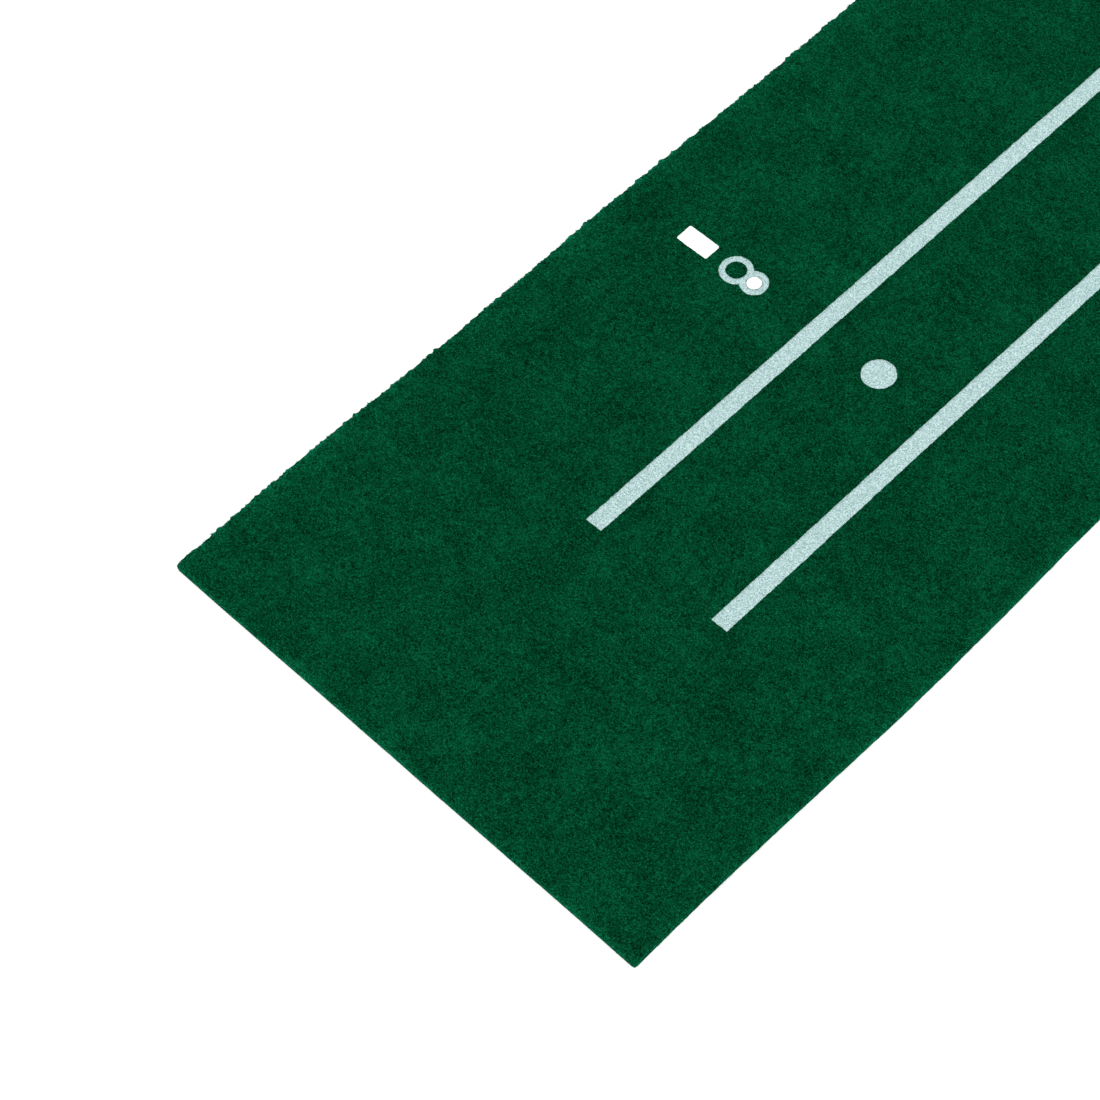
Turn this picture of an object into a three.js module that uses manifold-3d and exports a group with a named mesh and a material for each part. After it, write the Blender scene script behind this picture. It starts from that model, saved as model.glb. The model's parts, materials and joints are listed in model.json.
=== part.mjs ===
import * as THREE from "three";
import { mergeVertices } from "three/addons/utils/BufferGeometryUtils.js";
import Module from "manifold-3d";

// Practice putting mat: one long, thin, layered sheet that golf balls are rolled along.
// Millimetres, +Z up. The origin is the middle of the underside. The player stands at the
// -Y end and putts along +Y, to the hole near the other end.

// The sheet
const MAT_WIDTH = 457.2;
const MAT_LENGTH = 3048;
const CORNER_RADIUS = 3;
const RUBBER_THICKNESS = 1;
const BACKING_THICKNESS = 0.5;
const PILE_HEIGHT = 4.5;

// The putting lane: two printed lines, set apart by the width of a golf hole
const HOLE_DIAMETER = 108;
const LANE_CENTRE_X = 30.2;
const LINE_WIDTH = 14.8;
const LINE_SETBACK = 228;
const LINE_CORNER_RADIUS = 0.5;

// The marks: one row at each distance from the hole
const FOOT = 304.8;
const ROW_FEET = [8, 6, 4, 2];
const FIRST_ROW_SETBACK = 467;
const DOT_DIAMETER = 26.8;
const NUMERAL_BASE_X = -126;
const UNIT_CENTRE_X = -152.2;
const UNIT_LENGTH = 30.4;
const UNIT_WIDTH = 15.8;
const UNIT_CORNER_RADIUS = 1.5;

// The numerals, drawn upright, with their base line at 0 and their middle line at 0
const NUMERAL_HEIGHT = 43;
const STROKE = 5.1;
const BIG_RADIUS = 13.4;
const SMALL_RADIUS = 11.4;
const COUNTER_CLEARANCE = 0.3;

// Worked out from those
const PRINT_THICKNESS = 0.25;
const SURFACE_Z = RUBBER_THICKNESS + BACKING_THICKNESS + PILE_HEIGHT;
const HOLE_Y = -MAT_LENGTH / 2 + FIRST_ROW_SETBACK + ROW_FEET[0] * FOOT;
const SMALL_RING_Y = NUMERAL_HEIGHT - SMALL_RADIUS;
const COUNTER_RADIUS = SMALL_RADIUS - STROKE;

const CURVE_SEGMENTS = 16;

const turf = new THREE.MeshStandardMaterial({ color: 0x044327, roughness: 1, metalness: 0 });
const backing = new THREE.MeshStandardMaterial({ color: 0x23352a, roughness: 0.95, metalness: 0 });
const rubber = new THREE.MeshStandardMaterial({ color: 0x1b1d1c, roughness: 0.9, metalness: 0 });
const mintInk = new THREE.MeshStandardMaterial({ color: 0xb6d4d2, roughness: 0.9, metalness: 0 });
const whiteInk = new THREE.MeshStandardMaterial({ color: 0xfafcfb, roughness: 0.85, metalness: 0 });

const wasm = await Module();
wasm.setup();

const mat = new THREE.Group();

// Outlines

function disc(x, y, radius) {
  const shape = new THREE.Shape();
  shape.absarc(x, y, radius, 0, 2 * Math.PI);
  return shape;
}

function roundedRectangle(width, length, radius) {
  const shape = new THREE.Shape();
  const x = width / 2 - radius;
  const y = length / 2 - radius;
  shape.absarc(x, y, radius, 0, Math.PI / 2);
  shape.absarc(-x, y, radius, Math.PI / 2, Math.PI);
  shape.absarc(-x, -y, radius, Math.PI, 1.5 * Math.PI);
  shape.absarc(x, -y, radius, 1.5 * Math.PI, 2 * Math.PI);
  return shape;
}

// A straight stroke, whose middle line runs from one point to the other
function straightStroke(fromX, fromY, toX, toY) {
  const along = new THREE.Vector2(toX - fromX, toY - fromY).normalize();
  const x = (-along.y * STROKE) / 2;
  const y = (along.x * STROKE) / 2;
  const shape = new THREE.Shape();
  shape.moveTo(fromX + x, fromY + y);
  shape.lineTo(fromX - x, fromY - y);
  shape.lineTo(toX - x, toY - y);
  shape.lineTo(toX + x, toY + y);
  return shape;
}

// A curved stroke, whose outer edge has the given radius
function curvedStroke(x, y, radius, fromAngle, toAngle) {
  const shape = new THREE.Shape();
  shape.absarc(x, y, radius, fromAngle, toAngle, true);
  shape.absarc(x, y, radius - STROKE, toAngle, fromAngle);
  return shape;
}

// Solids

function extrude(shape, thickness) {
  return new THREE.ExtrudeGeometry(shape, {
    depth: thickness,
    bevelEnabled: false,
    curveSegments: CURVE_SEGMENTS,
  });
}

function toManifold(shape) {
  const geometry = extrude(shape, PRINT_THICKNESS);
  geometry.deleteAttribute("normal");
  geometry.deleteAttribute("uv");
  const merged = mergeVertices(geometry);
  const mesh = new wasm.Mesh({
    numProp: 3,
    vertProperties: new Float32Array(merged.attributes.position.array),
    triVerts: new Uint32Array(merged.index.array),
  });
  return new wasm.Manifold(mesh);
}

// Joins the first outlines into one print and cuts the others out of it.
function joinedPrint(outlines, cutOuts = []) {
  let solid = toManifold(outlines[0]);
  for (const outline of outlines.slice(1)) {
    solid = solid.add(toManifold(outline));
  }
  for (const outline of cutOuts) {
    solid = solid.subtract(toManifold(outline));
  }
  const { vertProperties, triVerts } = solid.getMesh();
  const geometry = new THREE.BufferGeometry();
  geometry.setAttribute("position", new THREE.BufferAttribute(vertProperties, 3));
  geometry.setIndex(new THREE.BufferAttribute(triVerts, 1));
  return geometry;
}

function addPiece(name, geometry, material, x, y, z) {
  const mesh = new THREE.Mesh(geometry, material.clone());
  mesh.name = name;
  mesh.position.set(x, y, z);
  mat.add(mesh);
  return mesh;
}

// The three bonded layers share one outline and one hole.
function addLayers() {
  let z = 0;
  for (const [name, thickness, material] of [
    ["rubber_base", RUBBER_THICKNESS, rubber],
    ["pile_backing", BACKING_THICKNESS, backing],
    ["turf_face", PILE_HEIGHT, turf],
  ]) {
    const shape = roundedRectangle(MAT_WIDTH, MAT_LENGTH, CORNER_RADIUS);
    shape.holes.push(disc(LANE_CENTRE_X, HOLE_Y, HOLE_DIAMETER / 2));
    addPiece(name, extrude(shape, thickness), material, 0, 0, z);
    z += thickness;
  }
}

function addLaneLines() {
  const length = MAT_LENGTH - 2 * LINE_SETBACK;
  const offset = (HOLE_DIAMETER + LINE_WIDTH) / 2;
  for (const [side, x] of [["left", LANE_CENTRE_X - offset], ["right", LANE_CENTRE_X + offset]]) {
    const shape = roundedRectangle(LINE_WIDTH, length, LINE_CORNER_RADIUS);
    addPiece(`lane_line_${side}`, extrude(shape, PRINT_THICKNESS), mintInk, x, 0, SURFACE_Z);
  }
}

// Numerals

function eight() {
  return joinedPrint(
    [disc(0, BIG_RADIUS, BIG_RADIUS), disc(0, SMALL_RING_Y, SMALL_RADIUS)],
    [disc(0, BIG_RADIUS, BIG_RADIUS - STROKE), disc(0, SMALL_RING_Y, COUNTER_RADIUS)],
  );
}

// The stem leaves the ring's left side and curves over to the right.
function six() {
  const stemRadius = NUMERAL_HEIGHT - BIG_RADIUS;
  const stemCentreX = stemRadius - BIG_RADIUS;
  return joinedPrint(
    [
      disc(0, BIG_RADIUS, BIG_RADIUS),
      curvedStroke(stemCentreX, BIG_RADIUS, stemRadius, Math.PI, 0.6 * Math.PI),
    ],
    [disc(0, BIG_RADIUS, BIG_RADIUS - STROKE)],
  );
}

function four() {
  const barY = 2.5 * STROKE;
  const uprightX = 1.5 * STROKE;
  return joinedPrint([
    straightStroke(uprightX, 0, uprightX, NUMERAL_HEIGHT),
    straightStroke(-BIG_RADIUS, barY, BIG_RADIUS, barY),
    straightStroke(-BIG_RADIUS + STROKE / 2, barY, uprightX, NUMERAL_HEIGHT - STROKE / 2),
  ]);
}

function two() {
  const archEnd = -0.2 * Math.PI;
  const middle = SMALL_RADIUS - STROKE / 2;
  return joinedPrint([
    curvedStroke(0, SMALL_RING_Y, SMALL_RADIUS, Math.PI, archEnd),
    straightStroke(
      middle * Math.cos(archEnd),
      SMALL_RING_Y + middle * Math.sin(archEnd),
      STROKE / 2 - SMALL_RADIUS,
      STROKE / 2,
    ),
    straightStroke(-SMALL_RADIUS, STROKE / 2, SMALL_RADIUS, STROKE / 2),
  ]);
}

// Each row: a ball dot on the lane's middle line, and a numeral above a plain patch beside the
// lane. The numeral's top points to +X, so it reads upright from the mat's left side.
function addRows() {
  const numerals = { 8: eight, 6: six, 4: four, 2: two };
  for (const feet of ROW_FEET) {
    const y = HOLE_Y - feet * FOOT;
    const dot = extrude(disc(0, 0, DOT_DIAMETER / 2), PRINT_THICKNESS);
    addPiece(`ball_dot_${feet}ft`, dot, mintInk, LANE_CENTRE_X, y, SURFACE_Z);
    const numeral = numerals[feet]();
    addPiece(`numeral_${feet}`, numeral, mintInk, NUMERAL_BASE_X, y, SURFACE_Z).rotation.z = -Math.PI / 2;
    const patch = extrude(roundedRectangle(UNIT_LENGTH, UNIT_WIDTH, UNIT_CORNER_RADIUS), PRINT_THICKNESS);
    addPiece(`unit_patch_${feet}ft`, patch, whiteInk, UNIT_CENTRE_X, y, SURFACE_Z);
  }
}

// The middle of the eight's small ring is filled with white.
function addEightCounter() {
  const counter = extrude(disc(0, 0, COUNTER_RADIUS - COUNTER_CLEARANCE), PRINT_THICKNESS);
  const x = NUMERAL_BASE_X + SMALL_RING_Y;
  addPiece("numeral_8_counter", counter, whiteInk, x, HOLE_Y - ROW_FEET[0] * FOOT, SURFACE_Z);
}

addLayers();
addLaneLines();
addRows();
addEightCounter();

export default mat;
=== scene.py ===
"""Looks of a roll-out putting mat, built round its CAD frame.

The pile, its backing and the rubber each get a detailed sheet with a soft, slightly wavy
outline. The printed marks are traced from the CAD prints and laid on the pile, and short
loose fibres cover the pile and fringe its cut edges.
"""

import json

import bpy
import numpy as np
from mathutils import Matrix, Vector
from mathutils.geometry import delaunay_2d_cdt
from mathutils.kdtree import KDTree


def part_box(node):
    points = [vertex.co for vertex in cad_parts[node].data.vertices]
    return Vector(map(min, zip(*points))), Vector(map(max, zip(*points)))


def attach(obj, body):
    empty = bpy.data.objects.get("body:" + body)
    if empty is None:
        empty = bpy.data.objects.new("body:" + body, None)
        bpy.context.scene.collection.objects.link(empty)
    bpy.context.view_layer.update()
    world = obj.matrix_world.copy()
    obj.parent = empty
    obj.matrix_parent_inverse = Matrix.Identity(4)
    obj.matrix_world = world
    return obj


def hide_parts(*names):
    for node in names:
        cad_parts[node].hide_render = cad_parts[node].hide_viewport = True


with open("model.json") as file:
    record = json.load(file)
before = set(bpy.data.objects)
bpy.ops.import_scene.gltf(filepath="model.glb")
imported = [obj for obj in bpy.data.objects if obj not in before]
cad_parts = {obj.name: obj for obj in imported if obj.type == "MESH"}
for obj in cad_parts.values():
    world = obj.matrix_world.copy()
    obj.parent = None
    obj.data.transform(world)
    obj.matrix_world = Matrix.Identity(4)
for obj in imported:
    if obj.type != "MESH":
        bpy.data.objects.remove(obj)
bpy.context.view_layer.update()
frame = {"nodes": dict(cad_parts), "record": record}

MM = 0.001
BODY = "root"
NOISE_TABLE = 512  # how many random values the noise has each way before it repeats

# The sheet, from the frame
turf_low, turf_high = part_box("turf_face")
backing_low, backing_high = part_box("pile_backing")
rubber_low, rubber_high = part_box("rubber_base")
HALF_WIDTH = turf_high.x
HALF_LENGTH = turf_high.y
CORNER_RADIUS = 2 * MM
GRID_STEP = 5 * MM
EDGE_SPLIT = 4  # how many fine steps a cut edge has for each step of the grid
PILE_ROLL = 1.4 * MM  # how far inside the frame's edge the pile's flat top ends
BACKING_INSET = 1.7 * MM
RUBBER_INSET = 1.5 * MM
HOLE = frame["record"]["physics"]["openings"][0]["box_m"]
HOLE_X = (HOLE[0][0] + HOLE[1][0]) / 2
HOLE_Y = (HOLE[0][1] + HOLE[1][1]) / 2
HOLE_RADIUS = 54 * MM
HOLE_RINGS = 9

# Layers of noise, each (strength, size): the pile's uneven top, how far its cut edges wander, and
# the clumps of tufts that stand out from them
PILE_LUMPS = ((0.22 * MM, 150 * MM), (0.16 * MM, 34 * MM), (0.14 * MM, 11 * MM), (0.06 * MM, 5 * MM))
SIDE_WANDER = ((0.3 * MM, 110 * MM), (0.35 * MM, 22 * MM))
END_WANDER = ((0.5 * MM, 200 * MM), (0.15 * MM, 30 * MM))
CLUMPS = ((1, 3.4 * MM), (0.8, 1.7 * MM))

# The pile's cut edges and loose fibres
LEFT_INSET, LEFT_WAVE, LEFT_WAVE_LENGTH, LEFT_TROUGH = 0.4 * MM, 1.2 * MM, 340 * MM, 290 * MM
RIGHT_OUTSET, RIGHT_WAVE, RIGHT_WAVE_LENGTH, RIGHT_TROUGH = 0.4 * MM, 2.0 * MM, 440 * MM, 70 * MM
WAVE_FLOOR, WAVE_REACH = 0.25, 900 * MM  # the waves fade to this share, over this distance
END_OUTSET = 0.5 * MM
SIDE_POWER, END_POWER = 6, 60  # how steeply the wandering fades inwards from sides and ends
LONG_EDGE_SCALLOP = 1.2 * MM
END_SCALLOP = 0.4 * MM
# How strong the scallops are, as (share of the pile's height, share of their full strength)
SCALLOPS_BY_SHARE = ((0, 0.1), (0.35, 0.3), (0.6, 0.8), (0.85, 1), (1, 0.2))
SKIRT_SHARE = -0.3  # how far the outermost tufts hang past the backing, as a share of the pile
PILE_EDGE = (  # from the top down, (outset, share of the pile's height)
    (0.5 * MM, 0.96),
    (0.9 * MM, 0.85),
    (1.15 * MM, 0.62),
    (1.38 * MM, 0.2),
    (1.3 * MM, SKIRT_SHARE),
    (0.2 * MM, SKIRT_SHARE),
    (0.0 * MM, 0),
)
BACKING_EDGE = ((0, 0),)
RUBBER_EDGE = ((0.2 * MM, 0.8), (0.2 * MM, 0.2), (0, 0))
FRINGE_GAP = 0.85 * MM
FRINGE_LENGTH = 1.3 * MM
FRINGE_OUTSET = 0.7 * MM
FIBRE_RADIUS = 0.16 * MM
FIBRE_RISE = 1.2 * MM
FRINGE_CURL, FRINGE_SEGMENTS = (0.3, 0.3, 0.3), 2
LOOSE_FIBRES = 10500
LOOSE_LENGTH = 4.2 * MM
LOOSE_CURL, LOOSE_SEGMENTS = (0.5, 0.5, 0.08), 3
ROOT_DEPTH = 0.1 * MM
FRINGE_SEED, LOOSE_SEED = 31, 32

# The prints
EDGE_STEP = 1.0 * MM
PRINT_RAGGEDNESS = ((0.2 * MM, 1.6 * MM), (0.2 * MM, 5 * MM))
INNER_STEP = 1.6 * MM
PRINT_SEED, PRINT_SEED_STEP = 100, 10
PRINT_RIM = 0.18 * MM
PRINT_LIFT = 0.34 * MM
PRINT_DEPTH = 0.4 * MM
PRINT_LUMPS = ((0.05 * MM, 2.5 * MM),)

# Textures and colours
TURF_STOPS = (0.30, 0.40, 0.52)  # where the pile's pattern is darkest, in the middle and lightest
PRINT_STOPS = (0.30, 0.40, 0.50)
TUFT_SIZE = 1.25 * MM
PILE_RELIEF = 1.1 * MM
PATCH_STRENGTH = 0.095
# The pile's colour runs from GREEN_DARK in the gaps between tufts to GREEN_LIGHT on their tips:
# partly the yarn's own spread of tones, partly painted shade in the gaps and painted light on the
# tips
GREEN_DARK = (0.0001, 0.0095, 0.0031)
GREEN = (0.0010, 0.0535, 0.0192)
GREEN_LIGHT = (0.0030, 0.119, 0.0480)
CURL_SHARE = 0.8  # the size of the pile's curls as a share of its tufts' size
NO_CHANGE = (1.0, 1.0, 1.0)
FLANK_PAINTED_LIGHT = (1.5, 1.5, 1.65)  # painted light: how much lighter the pile's cut flanks are coloured than its tips
FLANK_TOP, FLANK_FULL = 0.5 * MM, 1.6 * MM  # how far below the pile's top that painted light starts and is full
EDGE_PAINTED_LIGHT = (1.35, 1.35, 1.45)  # painted light: how much lighter the pile is coloured in a band along the sheet's edges
EDGE_BAND = 8 * MM
LEFT_PAINTED_LIGHT = (1.9, 1.9, 2.3)  # stronger painted light for the left edge, which faces away from the key light and lies in its shade
LEFT_BAND = 20 * MM
# How much of that painted light there is, as (share of the way out across the band, share of the
# light)
LEFT_SHARES = ((0, 0), (0.3, 0.12), (0.82, 0.22), (0.93, 0.6), (1, 1))
GREEN_IN_INK = (0.11, 0.23, 0.21)
# Each ink runs from its dark colour in the gaps between tufts to its light colour on their tips:
# partly the ink's own spread of tones, partly painted shade in the gaps and painted light on the tips
MINT_DARK = (0.23, 0.36, 0.355)
MINT = (0.425, 0.565, 0.563)
MINT_LIGHT = (0.57, 0.72, 0.72)
WHITE_DARK = (0.80, 0.83, 0.83)
WHITE = (0.93, 0.95, 0.95)
WHITE_LIGHT = (0.97, 0.98, 0.98)
MINT_COVER, WHITE_COVER = 0.17, 0.35
CLOTH_DARK = (0.004, 0.016, 0.009)
CLOTH_LIGHT = (0.016, 0.045, 0.028)
RUBBER_DARK = (0.008, 0.009, 0.0085)
RUBBER_LIGHT = (0.022, 0.024, 0.023)
DIMPLE_SIZE = 3.2 * MM
FLOOR_ALBEDO = 0.95


# Noise


def noise(x, y, size, seed):
    """Smooth noise from -1 to 1, with lumps about size across."""
    table = np.random.default_rng(seed).uniform(-1, 1, (NOISE_TABLE, NOISE_TABLE))
    x, y = np.asarray(x) / size, np.asarray(y) / size
    column, row = np.floor(x).astype(int), np.floor(y).astype(int)
    u, v = x - column, y - row
    u, v = u * u * (3 - 2 * u), v * v * (3 - 2 * v)
    left, right = column % NOISE_TABLE, (column + 1) % NOISE_TABLE
    near, far = row % NOISE_TABLE, (row + 1) % NOISE_TABLE
    low = table[left, near] * (1 - u) + table[right, near] * u
    high = table[left, far] * (1 - u) + table[right, far] * u
    return low * (1 - v) + high * v


def layered_noise(x, y, layers, first_seed):
    """The sum of noises, where each layer is (strength, size)."""
    seeded = enumerate(layers, start=first_seed)
    return sum(strength * noise(x, y, size, seed) for seed, (strength, size) in seeded)


def pile_height(x, y):
    """The height of the pile's top at a point."""
    return turf_high.z + layered_noise(x, y, PILE_LUMPS, 1)


def warp(x, y):
    """Moves points near the edges, so that the cut edges wander a little, as hand-cut carpet does."""
    side = np.sign(x) * (np.abs(x) / HALF_WIDTH) ** SIDE_POWER
    end = np.sign(y) * (np.abs(y) / HALF_LENGTH) ** END_POWER
    from_end = y + HALF_LENGTH
    left_phase = 2 * np.pi * (from_end - LEFT_TROUGH) / LEFT_WAVE_LENGTH
    right_phase = 2 * np.pi * (from_end - RIGHT_TROUGH) / RIGHT_WAVE_LENGTH
    left_wave = -LEFT_INSET - LEFT_WAVE * np.cos(left_phase)
    right_wave = RIGHT_OUTSET - RIGHT_WAVE * np.cos(right_phase)
    settled = WAVE_FLOOR + (1 - WAVE_FLOOR) * np.exp(-((from_end / WAVE_REACH) ** 2))
    wave = np.where(x < 0, left_wave, right_wave) * settled
    across = layered_noise(np.sign(x), y, SIDE_WANDER, 5)
    along = layered_noise(x, np.sign(y), END_WANDER, 7)
    return x + side * (wave + across), y + end * (END_OUTSET + along)


def scallops(plan):
    """How far the tufts at each point of a cut edge stand out, which is most on the long edges."""
    on_end = np.abs(plan[:, 1]) > HALF_LENGTH - CORNER_RADIUS - PILE_ROLL
    strength = np.where(on_end, END_SCALLOP, LONG_EDGE_SCALLOP)
    return strength * layered_noise(*plan.T, CLUMPS, 9)


# Meshes


def add_mesh(name, points, faces, material):
    """A mesh that is smooth apart from its large flat caps, which have more than four corners."""
    mesh = bpy.data.meshes.new(name)
    mesh.from_pydata([tuple(p) for p in points], [], [tuple(f) for f in faces])
    mesh.materials.append(material)
    mesh.polygons.foreach_set("use_smooth", [len(face) <= 4 for face in faces])
    mesh.update()
    piece = bpy.data.objects.new(name, mesh)
    bpy.context.scene.collection.objects.link(piece)
    return piece


def round_corners(x, y, half_width, half_length, radius):
    """Pulls the four square corners of a rectangular grid in to rounded ones."""
    u = np.clip((np.abs(x) - half_width + radius) / radius, 0, 1)
    v = np.clip((np.abs(y) - half_length + radius) / radius, 0, 1)
    inside = (u > 0) & (v > 0)
    corner_x = half_width - radius + radius * u * np.sqrt(1 - v * v / 2)
    corner_y = half_length - radius + radius * v * np.sqrt(1 - u * u / 2)
    return (
        np.where(inside, np.sign(x) * corner_x, x),
        np.where(inside, np.sign(y) * corner_y, y),
    )


def loop_normals(loop):
    """The outward normals of an anticlockwise closed loop."""
    along = np.roll(loop, -1, axis=0) - np.roll(loop, 1, axis=0)
    normals = np.stack([along[:, 1], -along[:, 0]], axis=1)
    return normals / np.linalg.norm(normals, axis=1)[:, None]


def grid_with_hole(half_width, half_length, step, hole_radius):
    """A rectangular grid with a round hole, as (points, faces, outer loop, hole loop).
    Both loops are lists of point numbers and run anticlockwise seen from above."""
    columns = int(round(2 * half_width / step))
    rows = int(round(2 * half_length / step))
    xs = np.linspace(-half_width, half_width, columns + 1)
    ys = np.linspace(-half_length, half_length, rows + 1)
    margin = hole_radius + 5 * step
    left, right = np.abs(xs - HOLE_X + margin).argmin(), np.abs(xs - HOLE_X - margin).argmin()
    near, far = np.abs(ys - HOLE_Y + margin).argmin(), np.abs(ys - HOLE_Y - margin).argmin()

    def number(i, j):
        return j * (columns + 1) + i

    x, y = (a.ravel() for a in np.meshgrid(xs, ys))
    faces = [
        (number(i, j), number(i + 1, j), number(i + 1, j + 1), number(i, j + 1))
        for j in range(rows)
        for i in range(columns)
        if not (left <= i < right and near <= j < far)
    ]

    def rectangle_loop(i0, i1, j0, j1):
        return (
            [number(i, j0) for i in range(i0, i1)]
            + [number(i1, j) for j in range(j0, j1)]
            + [number(i, j1) for i in range(i1, i0, -1)]
            + [number(i0, j) for j in range(j1, j0, -1)]
        )

    outer = rectangle_loop(0, columns, 0, rows)
    square = rectangle_loop(left, right, near, far)
    points = np.stack([x, y], axis=1)
    from_centre = points[square] - (HOLE_X, HOLE_Y)
    circle = from_centre / np.linalg.norm(from_centre, axis=1)[:, None] * hole_radius
    previous = square
    for ring in range(1, HOLE_RINGS + 1):
        share = ring / HOLE_RINGS
        ring_points = from_centre * (1 - share) + circle * share + (HOLE_X, HOLE_Y)
        current = list(range(len(points), len(points) + len(square)))
        points = np.concatenate([points, ring_points])
        faces += bridge(current, previous)
        previous = current
    return points, faces, outer, previous


def bridge(inner, outer):
    """Quads between two closed loops of the same length, facing up where inner lies inside outer."""
    count = len(inner)
    return [
        (inner[k], outer[k], outer[(k + 1) % count], inner[(k + 1) % count])
        for k in range(count)
    ]


def bridge_to_finer(inner, outer, split):
    """Triangles between a closed loop and one round it with split times as many points."""
    faces = []
    for k, start in enumerate(inner):
        stop = inner[(k + 1) % len(inner)]
        fine = [outer[(k * split + n) % len(outer)] for n in range(split + 1)]
        half = split // 2
        faces += [(start, fine[n], fine[n + 1]) for n in range(half)]
        faces.append((start, fine[half], stop))
        faces += [(stop, fine[n], fine[n + 1]) for n in range(half, split)]
    return faces


def refine(loop, split):
    """A closed loop of points with each of its edges cut into split equal parts."""
    shares = np.arange(split)[None, :, None] / split
    between = loop[:, None] * (1 - shares) + np.roll(loop, -1, axis=0)[:, None] * shares
    return between.reshape(-1, loop.shape[1])


def cap_round_hole(points, outer, hole, facing_up):
    """Two large faces that fill the outer loop round the hole."""
    outer_xy, hole_xy = points[outer][:, :2], points[hole][:, :2]

    def nearest(loop, place):
        return int(np.linalg.norm(loop - place, axis=1).argmin())

    hole_left, hole_right = int(hole_xy[:, 0].argmin()), int(hole_xy[:, 0].argmax())
    outer_left = nearest(outer_xy, (outer_xy[:, 0].min(), hole_xy[hole_left, 1]))
    outer_right = nearest(outer_xy, (outer_xy[:, 0].max(), hole_xy[hole_right, 1]))

    def path(loop, start, stop):
        count = (stop - start) % len(loop) + 1
        return [loop[(start + k) % len(loop)] for k in range(count)]

    far = path(outer, outer_right, outer_left) + path(hole, hole_right, hole_left)[::-1]
    near = path(outer, outer_left, outer_right) + path(hole, hole_left, hole_right)[::-1]
    return [face if facing_up else face[::-1] for face in (far, near)]


def layer(name, inset, profile, material, foot, height):
    """One closed layer of the sheet. From the top edge down, profile lists (outset, share), where
    share is 1 at the top surface, 0 at the foot and negative below it. A layer whose height is a
    number has a flat top, and one whose height is a function has a fine grid and scalloped edges."""
    flat, faces, outer, hole = grid_with_hole(
        HALF_WIDTH - inset, HALF_LENGTH - inset, GRID_STEP, HOLE_RADIUS + inset
    )
    fine_top = callable(height)
    split = EDGE_SPLIT if fine_top else 1

    def rounded(points):
        size = (HALF_WIDTH - inset, HALF_LENGTH - inset)
        return np.column_stack(warp(*round_corners(*points.T, *size, CORNER_RADIUS - inset)))

    plan, hole_line = rounded(flat), rounded(flat[hole])
    outer_line = rounded(refine(flat[outer], split))
    used = np.unique(faces) if fine_top else np.array(outer + hole)
    number = np.full(len(plan), -1)
    number[used] = np.arange(len(used))
    faces = [tuple(number[list(face)]) for face in faces] if fine_top else []
    plan, outer, hole = plan[used], list(number[outer]), list(number[hole])
    top = height(*plan.T) if fine_top else np.full(len(plan), height)
    points = np.column_stack([plan, top])
    if not fine_top:
        faces += cap_round_hole(points, outer, hole, facing_up=True)
    outward, into_hole = loop_normals(outer_line), -loop_normals(hole_line)
    uneven = scallops(outer_line) if fine_top else 0
    levels, strengths = zip(*SCALLOPS_BY_SHARE)
    for step, (outset, share) in enumerate(profile):
        next_outer = list(range(len(points), len(points) + len(outer_line)))
        next_hole = list(range(next_outer[-1] + 1, next_outer[-1] + 1 + len(hole_line)))
        reach = outset + uneven * np.interp(share, levels, strengths)
        for line, away, distance in ((outer_line, outward, reach), (hole_line, into_hole, outset)):
            line_top = height(*line.T) if fine_top else height
            z = np.broadcast_to(foot + (line_top - foot) * share, len(line))
            ring = line + away * np.broadcast_to(distance, len(line))[:, None]
            points = np.concatenate([points, np.column_stack([ring, z])])
        if step == 0 and split > 1:
            faces += bridge_to_finer(outer, next_outer, split)
        else:
            faces += bridge(outer, next_outer)
        faces += bridge(next_hole, hole)
        outer, hole = next_outer, next_hole
    faces += cap_round_hole(points, outer, hole, facing_up=False)
    return add_mesh(name, points, faces, material)


# Prints


def outline_loops(node):
    """The closed outlines of a CAD print's top face, as arrays of flat points."""
    mesh = frame["nodes"][node].data
    top = max(vertex.co.z for vertex in mesh.vertices)
    edges = set()
    for face in mesh.polygons:
        corners = [mesh.vertices[k].co for k in face.vertices]
        if all(abs(corner.z - top) < 0.01 * MM for corner in corners):
            flat = [(round(corner.x, 6), round(corner.y, 6)) for corner in corners]
            for edge in zip(flat, flat[1:] + flat[:1]):
                if edge[::-1] in edges:
                    edges.remove(edge[::-1])
                else:
                    edges.add(edge)
    following = dict(sorted(edges))
    loops = []
    while following:
        start = next(iter(following))
        loop, here = [start], following.pop(start)
        while here != start:
            loop.append(here)
            here = following.pop(here)
        loops.append(np.array(loop))
    return loops


def resample(loop, step):
    """The loop again, with its long edges cut into pieces of about step."""
    points = []
    for a, b in zip(loop, np.roll(loop, -1, axis=0)):
        count = max(1, int(np.ceil(np.linalg.norm(b - a) / step)))
        points += [a + (b - a) * k / count for k in range(count)]
    return np.array(points)


def inside(points, loops):
    """Which points lie inside the loops, where a loop within a loop is a hole."""
    crossings = np.zeros(len(points), int)
    for loop in loops:
        for (ax, ay), (bx, by) in zip(loop, np.roll(loop, -1, axis=0)):
            if ay != by:
                level = (points[:, 1] >= min(ay, by)) & (points[:, 1] < max(ay, by))
                crossings += level & (points[:, 0] < ax + (points[:, 1] - ay) * (bx - ax) / (by - ay))
    return crossings % 2 == 1


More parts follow.
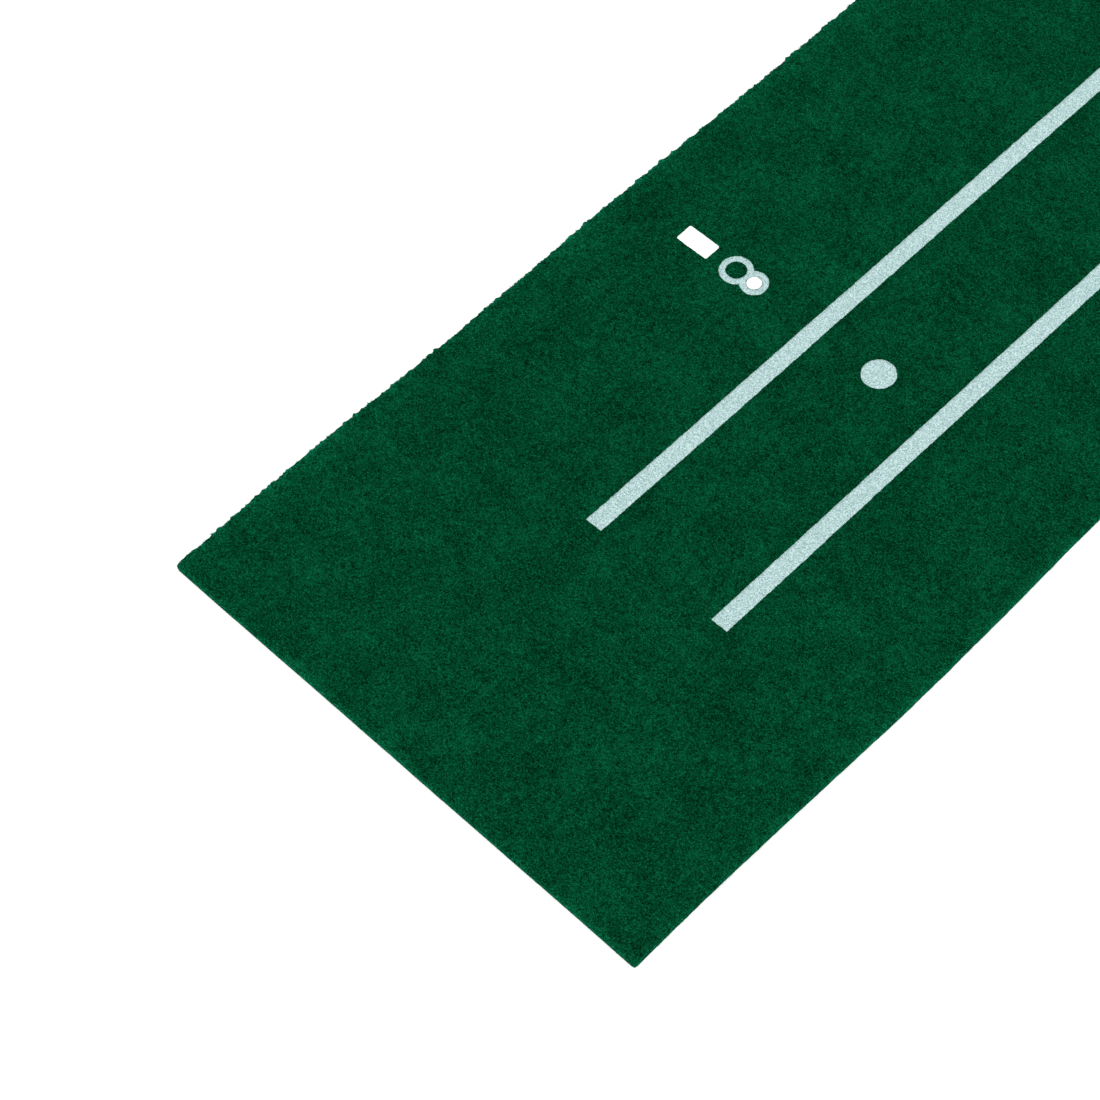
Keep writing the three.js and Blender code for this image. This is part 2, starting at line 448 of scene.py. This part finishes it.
def traced_print(node, seed):
    """A CAD print's outline made ragged and filled with triangles, as flat (points, triangles)."""
    loops = []
    for loop in outline_loops(node):
        fine = resample(loop, EDGE_STEP)
        ragged = layered_noise(*fine.T, PRINT_RAGGEDNESS, seed)
        loops.append(fine + loop_normals(fine) * ragged[:, None])
    edge = np.concatenate(loops)
    low, high = edge.min(axis=0), edge.max(axis=0)
    xs = np.arange(low[0] + INNER_STEP / 2, high[0], INNER_STEP)
    ys = np.arange(low[1] + INNER_STEP / 2, high[1], INNER_STEP)
    middle = np.stack([a.ravel() for a in np.meshgrid(xs, ys)], axis=1)
    middle = middle[inside(middle, loops)]
    tree = KDTree(len(edge))
    for k, point in enumerate(edge):
        tree.insert((*point, 0), k)
    tree.balance()
    clear = [tree.find((*point, 0))[2] > INNER_STEP / 2 for point in middle]
    middle = middle[clear]
    flat = [Vector(point) for point in np.concatenate([edge, middle])]
    links, start = [], 0
    for loop in loops:
        links += [(start + k, start + (k + 1) % len(loop)) for k in range(len(loop))]
        start += len(loop)
    flat, _, triangles, _, _, _ = delaunay_2d_cdt(flat, links, [], 1, 1e-9)
    flat = np.array(flat)
    triangles = np.array(triangles)
    triangles = triangles[inside(flat[triangles].mean(axis=1), loops)]
    return flat, triangles.tolist()


def add_print(node, material, seed):
    """A closed film over the traced print, thickest in its middle and sunk into the pile."""
    flat, triangles = traced_print(node, seed)
    count = len(flat)
    edges = dict.fromkeys(pair for a, b, c in triangles for pair in ((a, b), (b, c), (c, a)))
    rim = [pair for pair in edges if pair[::-1] not in edges]
    at_rim = np.zeros(count, bool)
    at_rim[[k for pair in rim for k in pair]] = True
    pile = pile_height(*flat.T)
    lift = np.where(at_rim, PRINT_RIM, PRINT_LIFT)
    lift = lift + layered_noise(*flat.T, PRINT_LUMPS, seed + len(PRINT_RAGGEDNESS))
    top = np.column_stack([flat, pile + lift])
    bottom = np.column_stack([flat, pile - PRINT_DEPTH])
    faces = triangles + [[k + count for k in triangle[::-1]] for triangle in triangles]
    faces += [(b, a, a + count, b + count) for a, b in rim]
    piece = add_mesh(f"{node}_on_pile", np.concatenate([top, bottom]), faces, material)
    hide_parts(node)
    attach(piece, BODY)
    return piece


# Fibres


def add_fibres(name, roots, directions, lengths, curl, segments, material, seed):
    """Thin three-sided fibres that start at roots, set out along directions and curl as they go.
    curl says how much they turn in x, y and z, and segments how many times they do."""
    random = np.random.default_rng(seed)
    count = len(roots)
    bend = random.normal(0, 1, (count, 3)) * curl
    path, direction = [roots], directions.copy()
    for _ in range(segments):
        direction = direction + bend + random.normal(0, 0.5, (count, 3)) * curl
        direction /= np.linalg.norm(direction, axis=1)[:, None]
        path.append(path[-1] + direction * (lengths / segments)[:, None])
    path = np.stack(path, axis=1)
    path[:, :, 2] = np.minimum(path[:, :, 2], turf_high.z + FIBRE_RISE)
    side = np.cross(directions, random.normal(size=(count, 3)))
    side /= np.linalg.norm(side, axis=1)[:, None]
    other = np.cross(directions, side)
    other /= np.linalg.norm(other, axis=1)[:, None]
    rings = []
    for step in range(segments):
        thick = FIBRE_RADIUS * (1 - 0.5 * step / segments)
        for corner in range(3):
            angle = 2 * np.pi * corner / 3
            around = side * np.cos(angle) + other * np.sin(angle)
            rings.append(path[:, step] + around * thick)
    points = np.stack([*rings, path[:, segments]], axis=1)
    each = points.shape[1]
    pattern = [(0, 2, 1)]
    for step in range(segments - 1):
        low = 3 * step
        for corner in range(3):
            after = (corner + 1) % 3
            pattern.append((low + corner, low + after, low + 3 + after))
            pattern.append((low + corner, low + 3 + after, low + 3 + corner))
    low = 3 * (segments - 1)
    pattern += [(low + corner, low + (corner + 1) % 3, each - 1) for corner in range(3)]
    faces = (np.array(pattern)[None] + each * np.arange(count)[:, None, None]).reshape(-1, 3)
    piece = add_mesh(name, points.reshape(-1, 3), faces.tolist(), material)
    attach(piece, BODY)


def add_edge_fringe(material, seed):
    """Short fibres that stand out, in clumps, all round the sheet's cut edges."""
    random = np.random.default_rng(seed)
    corners = np.array([(-1, -1), (1, -1), (1, 1), (-1, 1)]) * (HALF_WIDTH, HALF_LENGTH)
    lines = []
    for start, stop in zip(corners, np.roll(corners, -1, axis=0)):
        along = stop - start
        count = int(np.linalg.norm(along) / FRINGE_GAP)
        spots = start + along * ((np.arange(count) + random.uniform(0, 1, count)) / count)[:, None]
        outward = np.array([along[1], -along[0]]) / np.linalg.norm(along)
        lines.append(np.column_stack([spots, np.tile(outward, (count, 1))]))
    lines = np.concatenate(lines)
    plan, outward = lines[:, :2], lines[:, 2:]
    moved = np.column_stack(warp(*plan.T))
    clumps = scallops(plan)
    share = random.uniform(0.4, 0.95, len(plan))
    roots = np.column_stack([
        moved + outward * (clumps - PILE_ROLL + FRINGE_OUTSET)[:, None],
        turf_low.z + (turf_high.z - turf_low.z) * share,
    ])
    directions = np.column_stack([outward, share])
    directions += random.normal(0, 0.35, directions.shape)
    directions /= np.linalg.norm(directions, axis=1)[:, None]
    lengths = FRINGE_LENGTH * random.uniform(0.5, 1.3, len(plan)) + 0.4 * np.maximum(clumps, 0)
    curl = (FRINGE_CURL, FRINGE_SEGMENTS)
    add_fibres("edge_fringe", roots, directions, lengths, *curl, material, seed + 1)


def add_loose_fibres(material, print_nodes, seed):
    """Curly fibres that lie over the pile, clear of the prints and the hole."""
    random = np.random.default_rng(seed)
    reach = (HALF_WIDTH - LOOSE_LENGTH, HALF_LENGTH - LOOSE_LENGTH)
    plan = random.uniform(-1, 1, (LOOSE_FIBRES, 2)) * reach
    from_hole = np.linalg.norm(plan - (HOLE_X, HOLE_Y), axis=1)
    clear = from_hole > HOLE_RADIUS + 2 * LOOSE_LENGTH
    for node in print_nodes:
        low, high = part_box(node)
        over_x = (plan[:, 0] > low.x - LOOSE_LENGTH) & (plan[:, 0] < high.x + LOOSE_LENGTH)
        over_y = (plan[:, 1] > low.y - LOOSE_LENGTH) & (plan[:, 1] < high.y + LOOSE_LENGTH)
        clear &= ~(over_x & over_y)
    plan = plan[clear]
    roots = np.column_stack([plan, pile_height(*plan.T) - ROOT_DEPTH])
    angle = random.uniform(0, 2 * np.pi, len(plan))
    directions = np.column_stack([np.cos(angle), np.sin(angle), np.full(len(plan), 0.12)])
    directions /= np.linalg.norm(directions, axis=1)[:, None]
    lengths = LOOSE_LENGTH * random.uniform(0.5, 1.2, len(plan))
    curl = (LOOSE_CURL, LOOSE_SEGMENTS)
    add_fibres("loose_fibres", roots, directions, lengths, *curl, material, seed + 1)


# Materials


class Shader:
    """A material's node tree, with short calls for its nodes."""

    def __init__(self, name):
        self.material = bpy.data.materials.new(name)
        self.material.use_nodes = True
        self.tree = self.material.node_tree
        self.surface = self.tree.nodes["Principled BSDF"]
        self.place = self.tree.nodes.new("ShaderNodeTexCoord").outputs["Object"]

    def link(self, source, target):
        self.tree.links.new(source, target)

    def noise(self, size, detail=2.0, roughness=0.5, distortion=0.0, kind="FBM", stretch=None):
        node = self.tree.nodes.new("ShaderNodeTexNoise")
        node.noise_type = kind
        node.normalize = True
        for socket, value in (
            ("Scale", 1 / size),
            ("Detail", detail),
            ("Roughness", roughness),
            ("Distortion", distortion),
        ):
            node.inputs[socket].default_value = value
        place = self.place
        if stretch:
            mapping = self.tree.nodes.new("ShaderNodeMapping")
            mapping.inputs["Scale"].default_value = stretch
            self.link(place, mapping.inputs["Vector"])
            place = mapping.outputs["Vector"]
        self.link(place, node.inputs["Vector"])
        return node.outputs["Fac"]

    def ramp(self, value, *stops):
        node = self.tree.nodes.new("ShaderNodeValToRGB")
        ramp = node.color_ramp
        while len(ramp.elements) < len(stops):
            ramp.elements.new(0.5)
        for element, (place, colour) in zip(ramp.elements, stops):
            element.position = place
            element.color = (*colour, 1)
        self.link(value, node.inputs["Fac"])
        return node.outputs["Color"]

    def math(self, operation, first, second):
        node = self.tree.nodes.new("ShaderNodeMath")
        node.operation = operation
        for socket, value in zip(node.inputs, (first, second)):
            if isinstance(value, (int, float)):
                socket.default_value = value
            else:
                self.link(value, socket)
        return node.outputs["Value"]

    def blend(self, first, first_share, second, second_share):
        """The weighted sum of two values."""
        first = self.math("MULTIPLY", first, first_share)
        return self.math("ADD", first, self.math("MULTIPLY", second, second_share))

    def brighten(self, colour, share, light):
        """The colour multiplied by light where share is 1, and left alone where it is 0."""
        return self.mix(1.0, colour, self.mix(share, NO_CHANGE, light), blend="MULTIPLY")

    def axes(self):
        """The place's x, y and z."""
        parts = self.tree.nodes.new("ShaderNodeSeparateXYZ")
        self.link(self.place, parts.inputs["Vector"])
        return [parts.outputs[axis] for axis in "XYZ"]

    def between(self, value, low, high):
        """How far a value lies from low, which gives 0, to high, which gives 1."""
        share = self.tree.nodes.new("ShaderNodeMapRange")
        share.inputs["From Min"].default_value = low
        share.inputs["From Max"].default_value = high
        self.link(value, share.inputs["Value"])
        return share.outputs["Result"]

    def mix(self, share, first, second, blend="MIX"):
        node = self.tree.nodes.new("ShaderNodeMix")
        node.data_type = "RGBA"
        node.blend_type = blend
        sockets = (node.inputs[0], node.inputs[6], node.inputs[7])
        for socket, value in zip(sockets, (share, first, second)):
            if isinstance(value, (int, float)):
                socket.default_value = value
            elif isinstance(value, tuple):
                socket.default_value = (*value, 1)
            else:
                self.link(value, socket)
        return node.outputs[2]

    def finish(self, colour, height, depth, strength, roughness, specular=0.0):
        self.link(colour, self.surface.inputs["Base Color"])
        bump = self.tree.nodes.new("ShaderNodeBump")
        bump.inputs["Strength"].default_value = strength
        bump.inputs["Distance"].default_value = depth
        self.link(height, bump.inputs["Height"])
        self.link(bump.outputs["Normal"], self.surface.inputs["Normal"])
        self.surface.inputs["Roughness"].default_value = roughness
        self.surface.inputs["Specular IOR Level"].default_value = specular
        return self.material


def pile_pattern(shader):
    """How far each spot of the pile stands up, from 0 in a gap between tufts to 1 on a tuft's tip."""
    tufts = shader.noise(TUFT_SIZE, detail=3.0, roughness=0.62, distortion=1.1)
    curls = shader.noise(
        TUFT_SIZE * CURL_SHARE, detail=2.0, roughness=0.7, distortion=0.6, kind="RIDGED_MULTIFRACTAL"
    )
    return shader.blend(tufts, 0.7, curls, 0.3)


def turf_material():
    shader = Shader("green_pile")
    pile = pile_pattern(shader)
    patches = shader.noise(38 * MM, detail=2.0, roughness=0.5)
    clumps = shader.noise(7 * MM, detail=1.0, roughness=0.5)
    uneven = shader.math("SUBTRACT", shader.math("ADD", patches, clumps), 1.0)
    shade = shader.math("ADD", pile, shader.math("MULTIPLY", uneven, PATCH_STRENGTH))
    # Darker in the gaps between tufts and lighter on their tips: partly the yarn's own tones, partly
    # painted shade and painted light
    colour = shader.ramp(shade, *zip(TURF_STOPS, (GREEN_DARK, GREEN, GREEN_LIGHT)))
    x, y, z = shader.axes()
    # Painted light: the flanks of the cut edges are coloured lighter than the pile's tips
    flank = shader.between(z, turf_high.z - FLANK_TOP, turf_high.z - FLANK_FULL)
    colour = shader.brighten(colour, flank, FLANK_PAINTED_LIGHT)
    # Painted light: a lighter band along all the sheet's edges
    near_side = shader.between(shader.math("ABSOLUTE", x, 0), HALF_WIDTH - EDGE_BAND, HALF_WIDTH)
    near_end = shader.between(shader.math("ABSOLUTE", y, 0), HALF_LENGTH - EDGE_BAND, HALF_LENGTH)
    near_edge = shader.math("POWER", shader.math("MAXIMUM", near_side, near_end), 2.0)
    colour = shader.brighten(colour, near_edge, EDGE_PAINTED_LIGHT)
    # Painted light over the shade of the left edge, which faces away from the key light
    near_left = shader.between(x, LEFT_BAND - HALF_WIDTH, -HALF_WIDTH)
    left_share = shader.ramp(near_left, *((place, (share,) * 3) for place, share in LEFT_SHARES))
    colour = shader.brighten(colour, left_share, LEFT_PAINTED_LIGHT)
    return shader.finish(colour, pile, PILE_RELIEF, 1.0, 0.95)


def print_material(name, ink_dark, ink, ink_light, cover):
    """Ink on the pile's tips. The greater cover is, the fewer spots the ink has missed."""
    shader = Shader(name)
    pile = pile_pattern(shader)
    # Darker in the gaps between tufts and lighter on their tips: partly the ink's own tones, partly
    # painted shade and painted light
    colour = shader.ramp(pile, *zip(PRINT_STOPS, (ink_dark, ink, ink_light)))
    missed = shader.noise(0.9 * MM, detail=1.0, roughness=0.5, distortion=0.4)
    threshold = 0.5 - cover
    miss_share = shader.ramp(missed, (threshold, (1, 1, 1)), (threshold + 0.06, (0, 0, 0)))
    colour = shader.mix(miss_share, colour, GREEN_IN_INK)
    return shader.finish(colour, pile, PILE_RELIEF * 0.7, 0.6, 0.9)


def backing_material():
    shader = Shader("backing_cloth")
    weave = shader.noise(0.8 * MM, detail=1.0, stretch=(1, 0.25, 1))
    colour = shader.ramp(weave, (0.35, CLOTH_DARK), (0.65, CLOTH_LIGHT))
    return shader.finish(colour, weave, 0.3 * MM, 0.5, 0.95)


def rubber_material():
    shader = Shader("rubber")
    cells = shader.tree.nodes.new("ShaderNodeTexVoronoi")
    cells.inputs["Scale"].default_value = 1 / DIMPLE_SIZE
    cells.inputs["Randomness"].default_value = 0.15
    shader.link(shader.place, cells.inputs["Vector"])
    dust = shader.noise(26 * MM, detail=4.0, roughness=0.6)
    grain = shader.noise(0.7 * MM, detail=2.0)
    shade = shader.blend(dust, 0.7, grain, 0.3)
    colour = shader.ramp(shade, (0.35, RUBBER_DARK), (0.65, RUBBER_LIGHT))
    height = shader.math("ADD", cells.outputs["Distance"], shader.math("MULTIPLY", grain, 0.2))
    return shader.finish(colour, height, 0.5 * MM, 0.7, 0.8, specular=0.3)


turf_shade = turf_material()
mint = print_material("mint_ink", MINT_DARK, MINT, MINT_LIGHT, MINT_COVER)
white = print_material("white_ink", WHITE_DARK, WHITE, WHITE_LIGHT, WHITE_COVER)

turf = layer("pile_sheet", PILE_ROLL, PILE_EDGE, turf_shade, turf_low.z, pile_height)
backing = layer(
    "backing_sheet", BACKING_INSET, BACKING_EDGE, backing_material(), backing_low.z, backing_high.z
)
rubber = layer(
    "rubber_sheet", RUBBER_INSET, RUBBER_EDGE, rubber_material(), rubber_low.z, rubber_high.z
)
for piece, node, slot in (
    (turf, "turf_face", "turf"),
    (backing, "pile_backing", "backing_cloth"),
    (rubber, "rubber_base", "rubber"),
):
    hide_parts(node)
    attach(piece, BODY)

print_rows = [
    row
    for row in frame["record"]["subparts"]
    if row["material_slot"] in ("mint_print", "white_print")
]
for order, row in enumerate(print_rows):
    slot = row["material_slot"]
    ink = mint if slot == "mint_print" else white
    piece = add_print(row["node"], ink, PRINT_SEED + PRINT_SEED_STEP * order)

add_edge_fringe(turf_shade, FRINGE_SEED)
add_loose_fibres(turf_shade, [row["node"] for row in print_rows], LOOSE_SEED)

# Floor, lights and camera

FLOOR_REACH = 6.0
FLOOR_Z = -0.02 * MM
floor_mesh = bpy.data.meshes.new("floor")
floor_corners = [
    (x * FLOOR_REACH, y * FLOOR_REACH, FLOOR_Z) for x, y in ((-1, -1), (1, -1), (1, 1), (-1, 1))
]
floor_mesh.from_pydata(floor_corners, [], [(0, 1, 2, 3)])
floor_shade = Shader("pale_floor")
floor_shade.surface.inputs["Base Color"].default_value = (*[FLOOR_ALBEDO] * 3, 1)
floor_shade.surface.inputs["Roughness"].default_value = 0.9
floor_mesh.materials.append(floor_shade.material)
floor = bpy.data.objects.new("floor", floor_mesh)
bpy.context.scene.collection.objects.link(floor)

world = bpy.data.worlds.new("studio")
world.use_nodes = True
background = world.node_tree.nodes["Background"]
background.inputs["Color"].default_value = (1, 1, 1, 1)
background.inputs["Strength"].default_value = 1.0
bpy.context.scene.world = world

# A broad, soft key light from behind the camera
KEY_ENERGY = 1.6
KEY_ANGLE = np.radians(40)
KEY_DIRECTION = Vector((-0.75, 0.65, -1.6))
key_data = bpy.data.lights.new("key", "SUN")
key_data.energy = KEY_ENERGY
key_data.angle = KEY_ANGLE
key = bpy.data.objects.new("key", key_data)
key.rotation_euler = KEY_DIRECTION.to_track_quat("-Z", "Y").to_euler()
bpy.context.scene.collection.objects.link(key)

bpy.context.scene.view_settings.view_transform = "Standard"

CAMERA_PLACE = Vector((0.8182, -HALF_LENGTH - 0.5675, 1.7933 + turf_high.z))
CAMERA_YAW = np.radians(-48.484)
CAMERA_PITCH = np.radians(57.436)
CAMERA_ROLL = np.radians(-4.587)
SENSOR_WIDTH = 36
LENS = 97.46
forward = Vector((
    np.sin(CAMERA_YAW) * np.cos(CAMERA_PITCH),
    np.cos(CAMERA_YAW) * np.cos(CAMERA_PITCH),
    -np.sin(CAMERA_PITCH),
))
level_right = forward.cross(Vector((0, 0, 1))).normalized()
level_up = level_right.cross(forward)
right = np.cos(CAMERA_ROLL) * level_right + np.sin(CAMERA_ROLL) * level_up
up = -np.sin(CAMERA_ROLL) * level_right + np.cos(CAMERA_ROLL) * level_up
camera_data = bpy.data.cameras.new("camera")
camera_data.sensor_width = SENSOR_WIDTH
camera_data.lens = LENS
camera = bpy.data.objects.new("camera", camera_data)
turn = Matrix((right, up, -forward)).transposed().to_4x4()
camera.matrix_world = Matrix.Translation(CAMERA_PLACE) @ turn
bpy.context.scene.collection.objects.link(camera)
bpy.context.scene.camera = camera
